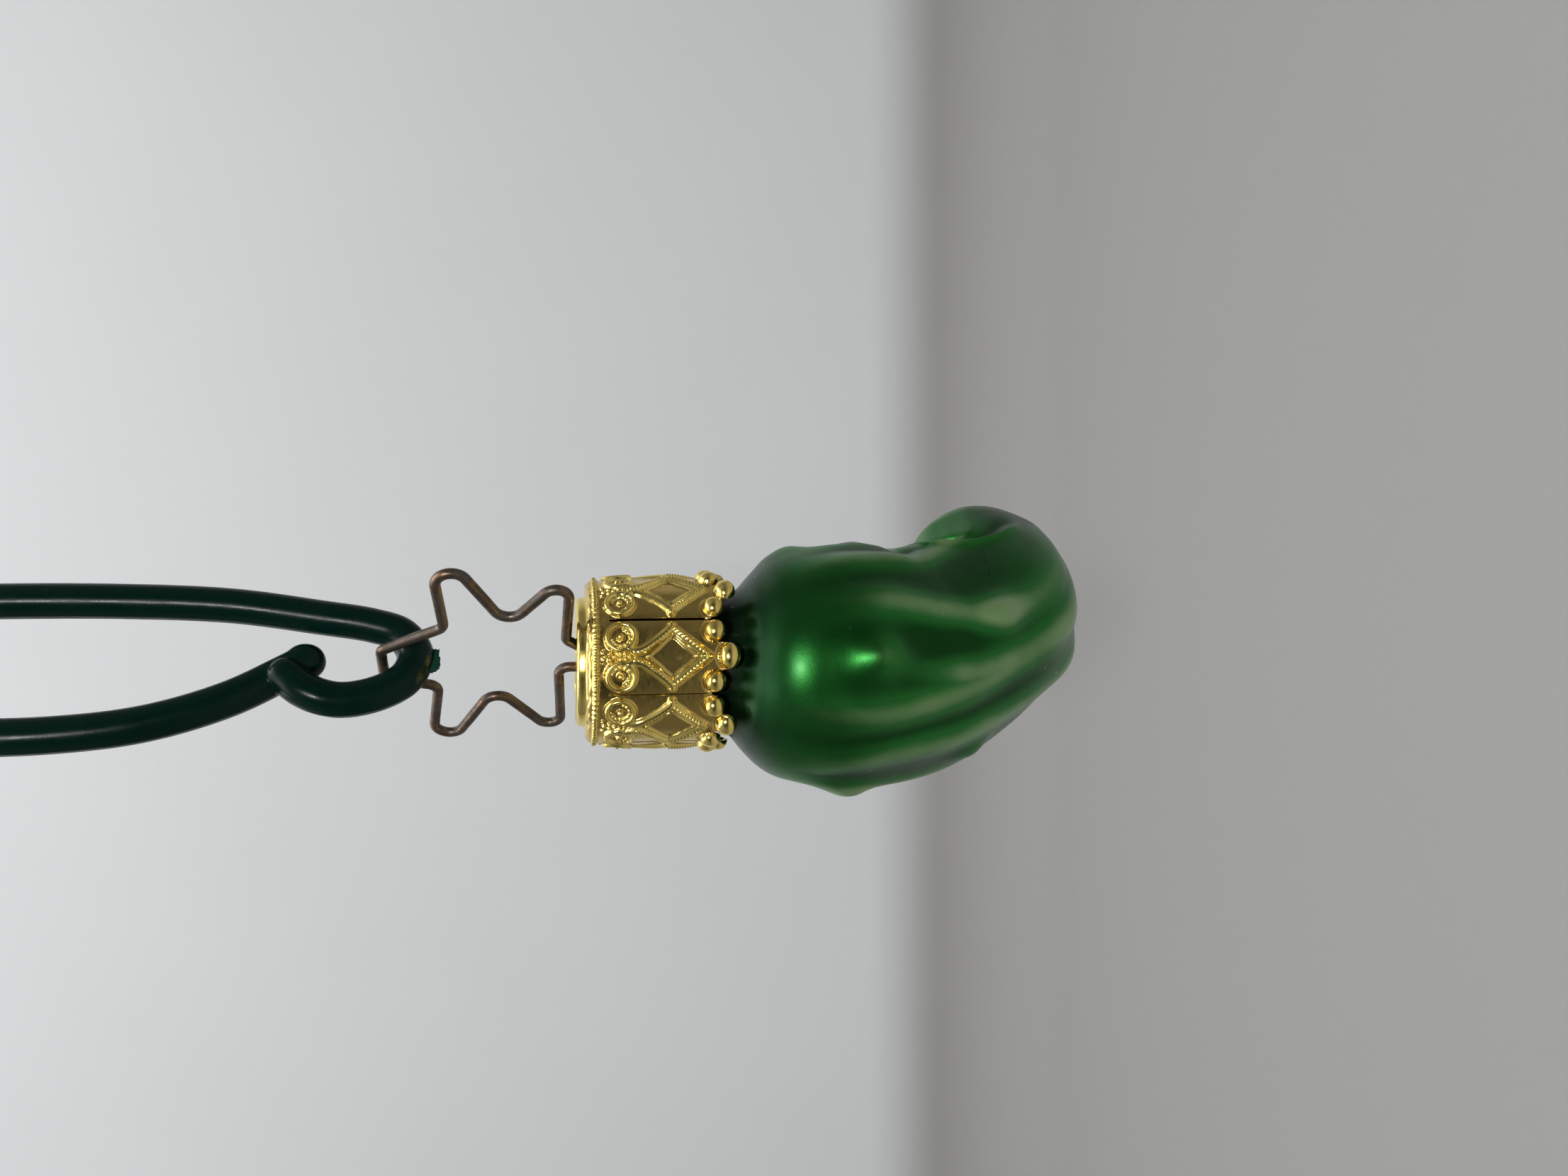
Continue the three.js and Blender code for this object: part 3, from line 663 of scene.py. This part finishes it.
def make_cap():
    cols, upper, lower = 96, 30, 132
    half = math.pi * CAP_RADIUS / LEAVES
    front = -90 + LEAF_PHASE
    rng = np.random.default_rng(7)
    verts, faces, relief = [], [], []
    rows = upper + lower
    corner = SHOULDER_BEND * math.pi / 2
    spans = []
    for leaf in range(LEAVES):
        spans.append(np.linspace(-half + SLIT_WIDTHS[leaf - 1] / 2, half - SLIT_WIDTHS[leaf] / 2, cols))
        u_line = spans[-1]
        lean, twist = rng.uniform(-0.06, 0.10), rng.uniform(-0.03, 0.03)
        share = np.linspace(0, 1, upper, endpoint=False)
        v_top = np.repeat((share * SLIT_TOP)[:, None], cols, 1)
        edge = leaf_edge(u_line)
        share = np.linspace(0, 1, lower - 30, endpoint=False)[:, None]
        v_body = SLIT_TOP + share * (EVEN_DEPTH - SLIT_TOP) + 0 * edge[None, :]
        share = np.linspace(0, 1, 30)[:, None]
        v_low = np.concatenate([v_body, EVEN_DEPTH + share * (edge[None, :] - EVEN_DEPTH)])
        v = np.concatenate([v_top, v_low])
        u = np.repeat(u_line[None, :], rows, 0)
        h = leaf_relief(u, v)
        # The sheet turns down over the shoulder, then runs to the rim, each leaf a little its own way.
        bend = np.clip(v / corner, 0, 1) * math.pi / 2
        radius = CAP_RADIUS - SHOULDER_BEND * (1 - np.sin(bend)) - TAPER * smoothstep(-v, -3.4, -0.6)
        z = CAP_SHOULDER - SHOULDER_BEND * (1 - np.cos(bend)) - np.clip(v - corner, 0, None)
        drop = np.clip((v - SLIT_TOP) / 8, 0, 1.2)
        radius = radius + drop**1.5 * (lean + twist * u)
        radius = radius - 0.10 * (np.abs(u) / half) ** 6 * smoothstep(v, 1.7, 2.4)
        radius = radius + h * np.sin(np.clip(bend, 0.6, None)) - 0.05
        turn = math.radians(front) + leaf * 2 * math.pi / LEAVES + u / CAP_RADIUS
        # The press leaves the shoulder softly dented.
        dents = np.sin(turn * 11 + 2 * v) + 0.8 * np.sin(turn * 17 + 1.3 + v)
        dents = dents + 0.7 * np.sin(turn * 29 - 3 * v)
        fading = smoothstep(-v, -2.2, -0.3)
        radius = radius + 0.035 * dents * fading
        z = z + 0.028 * dents * fading * np.cos(bend)
        points = np.stack([radius * np.cos(turn), radius * np.sin(turn), z], -1)
        start = len(verts)
        verts.extend(points.reshape(-1, 3))
        relief.extend(h.ravel())
        faces += grid_faces(rows, cols, start, wrap=False)
    per_leaf = rows * cols
    for leaf in range(LEAVES):
        after = (leaf + 1) % LEAVES
        for i in range(upper):
            a = leaf * per_leaf + i * cols + cols - 1
            b = after * per_leaf + i * cols
            faces.append((a, b, b + cols, a + cols))
    # The top: shoulder, riser and bevelled disc, ring by ring.
    ring = [leaf * per_leaf + j for leaf in range(LEAVES) for j in range(cols)]
    turn = np.array([
        math.radians(front) + leaf * 2 * math.pi / LEAVES + u / CAP_RADIUS
        for leaf in range(LEAVES) for u in spans[leaf]
    ])
    profile = [
        (5.86, -64.69), (5.72, -64.71), (5.55, -64.76), (5.38, -64.77), (5.24, -64.70), (5.17, -64.58),
        (5.13, -64.34), (5.11, -64.18), (5.04, -64.05), (4.95, -63.97), (4.82, -63.95),
    ]
    for radius, height in profile:
        dent = 0.02 * np.sin(turn * 3 + 1) + 0.012 * np.sin(turn * 7)
        start = len(verts)
        verts.extend(np.stack([radius * np.cos(turn), radius * np.sin(turn), height + dent], -1))
        relief.extend([0.2] * len(turn))
        count = len(ring)
        for j in range(count):
            k = (j + 1) % count
            faces.append((ring[k], ring[j], start + j, start + k))
        ring = list(range(start, start + count))
    bm = bmesh.new()
    made = [bm.verts.new(p) for p in verts]
    for face in faces:
        bm.faces.new([made[k] for k in face])
    # The flat of the disc, open at the two wire slots.
    loops = [[made[k] for k in ring]]
    inner, outer, width = WIRE_SLOT
    for side in (-1, 1):
        loop = []
        r = width / 2
        low, high = inner + r * 0.4, outer - r
        steps = 12
        for k in range(steps + 1):
            a = -math.pi / 2 + math.pi * k / steps
            loop.append((high + r * math.cos(a), r * math.sin(a)))
        for k in range(steps + 1):
            a = math.pi / 2 + math.pi * k / steps
            loop.append((low + 0.4 * r * math.cos(a), r * math.sin(a)))
        spots = [(HANGER_OFFSET + side * x, y, CAP_TOP) for x, y in loop]
        top = [bm.verts.new(p) for p in turned_about_z(spots, HANGER_TURN)]
        shrink = np.array(spots)
        centre = np.array([HANGER_OFFSET + side * (inner + outer) / 2, 0, 0])
        shrink = (shrink - centre) * np.array([0.985, 0.93, 1]) + centre
        shrink[:, 2] = CAP_TOP - 0.10
        below = [bm.verts.new(p) for p in turned_about_z(shrink, HANGER_TURN)]
        n = len(top)
        for k in range(n):
            bm.faces.new((top[k], top[(k + 1) % n], below[(k + 1) % n], below[k]))
        loops.append(top)
    edges = []
    for loop in loops:
        for k in range(len(loop)):
            pair = (loop[k], loop[(k + 1) % len(loop)])
            edges.append(bm.edges.get(pair) or bm.edges.new(pair))
    bmesh.ops.triangle_fill(bm, use_beauty=True, use_dissolve=False, edges=edges, normal=(0, 0, 1))
    bm.verts.index_update()
    relief += [0.2] * (len(bm.verts) - len(relief))
    bmesh.ops.recalc_face_normals(bm, faces=bm.faces)
    highest = max(bm.faces, key=lambda f: f.calc_center_median().z)
    if highest.normal.z < 0:
        bmesh.ops.reverse_faces(bm, faces=bm.faces)
    mesh = bpy.data.meshes.new("gold_crown_cap")
    bm.to_mesh(mesh)
    bm.free()
    layer = mesh.attributes.new("relief", "FLOAT", "POINT")
    layer.data.foreach_set("value", np.array(relief))
    obj = bpy.data.objects.new("gold_crown_cap", mesh)
    bpy.context.scene.collection.objects.link(obj)
    thick = obj.modifiers.new("sheet", "SOLIDIFY")
    thick.thickness = SHEET
    thick.offset = -1
    apply_modifiers(obj)
    obj.data.transform(Matrix.Scale(MM, 4))
    obj.data.polygons.foreach_set("use_smooth", [True] * len(obj.data.polygons))
    obj.data.materials.append(gold_material())
    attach(obj, "cap")
    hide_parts("crown_cap")
    return obj


# ---------------------------------------------------------------- spring hanger

# Each side of the star, (across, height, bend radius), from its top point down to the leg.
STAR_LEFT = [
    (-2.15, -49.2, 0.55), (-3.4, -53.2, 1.0), (-14.8, -51.75, 1.15),
    (-3.6, -57.55, 1.2), (-10.9, -62.9, 1.0), (-1.1, -62.6, 0.9),
]
STAR_RIGHT = [
    (1.15, -49.2, 0.55), (4.0, -54.05, 0.8), (13.9, -53.3, 1.15),
    (4.0, -58.7, 1.2), (10.3, -63.45, 1.0), (2.3, -63.15, 0.7), (1.1, -64.7, 0.4),
]
LEG_PITCH, LEG_SPREAD, LEG_END, WIRE_RADIUS = 1.1, 2.5, -75.4, 0.41


def bent_path(corners, spacing):
    """Straight runs and round bends through corners given as (x, z, bend radius)."""
    pts = [np.array((x, 0.0, z)) for x, z, _ in corners]
    out = [pts[0]]

    def run_to(point):
        count = max(1, int(np.linalg.norm(point - out[-1]) / spacing))
        begin = out[-1]
        for k in range(1, count + 1):
            out.append(begin + (point - begin) * k / count)

    for i in range(1, len(pts) - 1):
        before, after = pts[i - 1] - pts[i], pts[i + 1] - pts[i]
        before, after = before / np.linalg.norm(before), after / np.linalg.norm(after)
        half = math.acos(float(np.clip(before @ after, -1, 1))) / 2
        radius = corners[i][2]
        first = pts[i] + before * radius / math.tan(half)
        last = pts[i] + after * radius / math.tan(half)
        inward = (before + after) / np.linalg.norm(before + after)
        centre = pts[i] + inward * radius / math.sin(half)
        run_to(first)
        arm, far = first - centre, last - centre
        angle = math.acos(float(np.clip(arm @ far / radius**2, -1, 1)))
        axis = np.cross(arm, far)
        axis /= np.linalg.norm(axis)
        count = max(4, int(angle * radius / (spacing * 0.6)))
        for k in range(1, count + 1):
            t = angle * k / count
            out.append(centre + arm * math.cos(t) + np.cross(axis, arm) * math.sin(t))
    run_to(pts[-1])
    return np.array(out)


def make_hanger():
    right_leg = [(LEG_SPREAD, LEG_END, 0), (LEG_PITCH, -66.2, 1.5)]
    left_leg = [(-LEG_PITCH, -66.2, 1.5), (-LEG_SPREAD, LEG_END, 0)]
    corners = right_leg + STAR_RIGHT[::-1] + STAR_LEFT + left_leg
    path = bent_path(corners, 0.22)
    path[:, 0] += HANGER_OFFSET
    # Hand-bent wire is never quite straight: a slow wander, none of it at the link or the slots.
    calm = smoothstep(-path[:, 2], 51.5, 54) * smoothstep(path[:, 2], -63.5, -61)
    run = np.arange(len(path)) * 0.2
    path[:, 1] += calm * 0.12 * np.sin(run / 3.7)
    path = turned_about_z(path, HANGER_TURN)
    radii = WIRE_RADIUS * (1 + 0.012 * np.sin(run / 0.9) + 0.01 * np.sin(run / 0.37 + 1))
    verts, faces = tube(path, np.minimum(radii, WIRE_RADIUS), 20, start=(1, 0, 0))
    obj = new_object("star_wire", verts, faces)
    face_outward(obj)
    obj.data.materials.append(wire_material())
    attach(obj, "hanger")
    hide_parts("spring_hanger")
    return obj


# ---------------------------------------------------------------- tree hook

ROD_RADIUS, BUD_RADIUS, HOOK_TURN = 1.38, 1.44, 35
# The eye's share of the route, the route's steps, and the voxel size of the moulded skin.
EYE_SHARE, ROUTE_STEPS, SKIN_SIZE = 0.105, 1200, 0.14
HOOK_ROUTE = [
    (-1.15, -0.35, -42.3), (-2.24, -0.35, -43.5), (-2.98, -0.2, -45.1), (-3.12, 0, -46.7),
    (-2.52, 0, -49.2), (-1.26, 0, -51.0), (0.69, 0, -51.6), (2.64, 0, -50.5), (3.56, 0, -48.3),
    (4.36, 0, -44.3), (5.51, 0, -37.5), (5.96, 0, -29.0), (5.91, 0, -18.0), (5.39, 0, -6.5),
    (3.9, 0, -0.8), (0, 0, ROD_RADIUS), (-3.9, 0, -0.8), (-5.39, 0, -6.5), (-5.68, 0, -18.0),
    (-5.62, 0, -27.0), (-4.82, 0, -33.0), (-2.87, 0.1, -38.3), (-0.46, 0.35, -42.0), (0.57, 0.5, -43.4),
]
STUB_X, STUB_TOP = 0.2, -52.45


def make_hook():
    route = catmull(HOOK_ROUTE, ROUTE_STEPS)[0]
    split = int(EYE_SHARE * ROUTE_STEPS)
    eye, loop = route[: split + 12], route[split - 12:]
    parts = [tube(eye, ROD_RADIUS, 40), tube(loop, ROD_RADIUS, 40)]
    bud = bmesh.new()
    bmesh.ops.create_icosphere(bud, subdivisions=4, radius=BUD_RADIUS)
    ball = np.array([v.co for v in bud.verts])
    ball = ball * np.array([1.0, 1.0, 1.08]) + np.array(HOOK_ROUTE[-1]) + np.array([0, 0, 0.05])
    bud.verts.index_update()
    parts.append((ball, [tuple(v.index for v in f.verts) for f in bud.faces]))
    bud.free()
    verts, faces = [], []
    for part_verts, part_faces in parts:
        start = len(verts)
        verts.extend(part_verts)
        faces += [tuple(k + start for k in f) for f in part_faces]
    mesh = bpy.data.meshes.new("moulded_hook")
    mesh.from_pydata(np.array(verts).tolist(), [], faces)
    obj = bpy.data.objects.new("moulded_hook", mesh)
    bpy.context.scene.collection.objects.link(obj)
    skin = obj.modifiers.new("skin", "REMESH")
    skin.mode = "VOXEL"
    skin.voxel_size = SKIN_SIZE
    skin.use_smooth_shade = True
    ease = obj.modifiers.new("ease", "SMOOTH")
    ease.factor, ease.iterations = 0.5, 5
    apply_modifiers(obj)
    mesh = obj.data
    co = np.empty(len(mesh.vertices) * 3)
    mesh.vertices.foreach_get("co", co)
    co = co.reshape(-1, 3)
    no = np.array([v.normal[:] for v in mesh.vertices])
    # The mould's parting line: a low ridge where the surface crosses the middle plane.
    on_gate = (co[:, 0] < 1.8) * (co[:, 2] > -44)
    middle = np.interp(co[:, 2], [-43.4, -38, -30], [0.30, 0.08, 0.0]) * on_gate
    side_on = 1 - np.abs(no[:, 1])
    seam = np.exp(-(((co[:, 1] - middle) / 0.11) ** 2)) * np.clip(side_on * 1.4 - 0.4, 0, 1)
    co += no * (0.05 * seam)[:, None]
    mesh.vertices.foreach_set("co", (turned_about_z(co, HOOK_TURN) * MM).ravel())
    mesh.update()
    set_attribute(obj, "torn", np.clip(seam * 0.35, 0, 1) * 0.4)
    obj.data.materials.append(plastic_material())
    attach(obj, "hook")
    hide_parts("tree_hook")
    return obj


def make_gate_stub():
    """The torn end of the moulding's gate, a ragged little flag under the eye."""
    bm = bmesh.new()
    bmesh.ops.create_cube(bm, size=1)
    bmesh.ops.subdivide_edges(bm, edges=bm.edges, cuts=11, use_grid_fill=True)
    for v in bm.verts:
        x, y, z = v.co
        low = -z + 0.5
        ragged = 0.5 + 0.5 * math.sin(x * 9.1 + 0.6) * math.cos(x * 23 + y * 5) - 0.35 * (x > 0.15)
        width = 2.2 - 0.45 * low + 0.16 * math.sin(z * 19 + y * 3)
        thick = 0.56 * (1 - 0.35 * low) + 0.05 * math.sin(x * 31 + z * 13)
        height = 1.15 * (0.72 + 0.28 * ragged)
        v.co = (
            STUB_X + x * width + 0.12 * low, y * thick + 0.06 * math.sin(z * 9 + x * 7),
            STUB_TOP - low * height,
        )
    for _ in range(2):
        bmesh.ops.smooth_vert(
            bm, verts=bm.verts, factor=0.4, use_axis_x=True, use_axis_y=True, use_axis_z=True
        )
    verts = turned_about_z([v.co[:] for v in bm.verts], HOOK_TURN)
    bm.verts.index_update()
    faces = [tuple(v.index for v in f.verts) for f in bm.faces]
    bm.free()
    obj = new_object("torn_gate", verts, faces)
    face_outward(obj)
    set_attribute(obj, "torn", np.ones(len(verts)))
    obj.data.materials.append(bpy.data.materials["dark_green_moulded_plastic"])
    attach(obj, "hook")
    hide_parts("tree_hook")
    return obj


# ---------------------------------------------------------------- stage, lights, camera

# Metres, degrees and millimetres of sensor and lens. +X is up in the camera's frame.
CAMERA_PLACE, CAMERA_PITCH, SENSOR, LENS = (0.00591, -0.09816, -0.06182), 11, 36.0, 27.81
WALL_Y, FLOOR_Z, CORNER, SHEET_REACH = 0.34, -0.235, 0.05, 1.6


def make_stage():
    """A pale wall and floor in one sheet, with a soft corner between them."""
    profile = [(WALL_Y, SHEET_REACH)]
    for k in range(13):
        a = math.pi / 2 * k / 12
        y = WALL_Y - CORNER + CORNER * math.cos(a)
        profile.append((y, FLOOR_Z + CORNER - CORNER * math.sin(a)))
    profile.append((-SHEET_REACH, FLOOR_Z))
    verts = [(x, y, z) for y, z in profile for x in (-SHEET_REACH, SHEET_REACH)]
    faces = [(2 * k, 2 * k + 1, 2 * k + 3, 2 * k + 2) for k in range(len(profile) - 1)]
    mesh = bpy.data.meshes.new("studio_sheet")
    mesh.from_pydata(verts, [], faces)
    mesh.polygons.foreach_set("use_smooth", [True] * len(mesh.polygons))
    obj = bpy.data.objects.new("studio_sheet", mesh)
    bpy.context.scene.collection.objects.link(obj)
    obj.data.materials.append(paper_material())


def area_light(name, place, target, size, power, colour):
    data = bpy.data.lights.new(name, "AREA")
    data.shape = "RECTANGLE"
    data.size, data.size_y = size
    data.energy, data.color = power, colour
    obj = bpy.data.objects.new(name, data)
    obj.location = place
    obj.rotation_euler = (Vector(target) - Vector(place)).to_track_quat("-Z", "Y").to_euler()
    bpy.context.scene.collection.objects.link(obj)


def make_lights():
    middle = (0, 0, -0.07)
    area_light("window", (0.012, -0.52, 0.17), middle, (0.05, 0.04), 1.5, (1.0, 0.99, 0.96))
    area_light("ceiling", (0.0, -0.15, 0.95), middle, (0.9, 0.7), 5.6, (0.96, 0.98, 1.0))
    area_light("wall_wash", (0.0, 0.10, 0.62), (0.0, 0.34, -0.06), (0.9, 0.12), 2.6, (0.98, 0.99, 1.0))
    world = bpy.data.worlds.new("soft_room")
    bpy.context.scene.world = world
    world.use_nodes = True
    nodes, links = world.node_tree.nodes, world.node_tree.links
    # Brighter overhead, and darkest in front, where the viewer stands.
    coord = nodes.new("ShaderNodeTexCoord")
    split = nodes.new("ShaderNodeSeparateXYZ")
    links.new(coord.outputs["Generated"], split.inputs[0])
    height, nearness = (nodes.new("ShaderNodeMapRange") for _ in range(2))
    for ramp, axis, low, high in ((height, "Z", 0.0, 0.9), (nearness, "Y", -0.9, -0.25)):
        ramp.interpolation_type = "SMOOTHSTEP"
        ramp.inputs["From Min"].default_value = low
        ramp.inputs["From Max"].default_value = high
        links.new(split.outputs[axis], ramp.inputs["Value"])
    nearness.inputs["To Min"].default_value = 0.12
    up = nodes.new("ShaderNodeMix")
    up.data_type = "RGBA"
    up.inputs[6].default_value = (0.26, 0.255, 0.25, 1)
    up.inputs[7].default_value = (0.62, 0.65, 0.68, 1)
    links.new(height.outputs["Result"], up.inputs[0])
    shade = nodes.new("ShaderNodeVectorMath")
    shade.operation = "SCALE"
    links.new(up.outputs[2], shade.inputs[0])
    links.new(nearness.outputs["Result"], shade.inputs["Scale"])
    links.new(shade.outputs[0], nodes["Background"].inputs["Color"])
    nodes["Background"].inputs["Strength"].default_value = 0.55
    bpy.context.scene.view_settings.view_transform = "Standard"


def make_camera():
    data = bpy.data.cameras.new("camera")
    data.sensor_width, data.lens = SENSOR, LENS
    data.clip_start = 0.005
    camera = bpy.data.objects.new("camera", data)
    pitch = math.radians(CAMERA_PITCH)
    ahead = Vector((0, math.cos(pitch), -math.sin(pitch)))
    right = Vector((0, -math.sin(pitch), -math.cos(pitch)))
    up = Vector((1, 0, 0))
    turn = Matrix((right, up, -ahead)).transposed().to_4x4()
    camera.matrix_world = Matrix.Translation(CAMERA_PLACE) @ turn
    bpy.context.scene.collection.objects.link(camera)
    bpy.context.scene.camera = camera


make_glass()
make_cap()
make_hanger()
make_hook()
make_gate_stub()
make_stage()
make_lights()
make_camera()
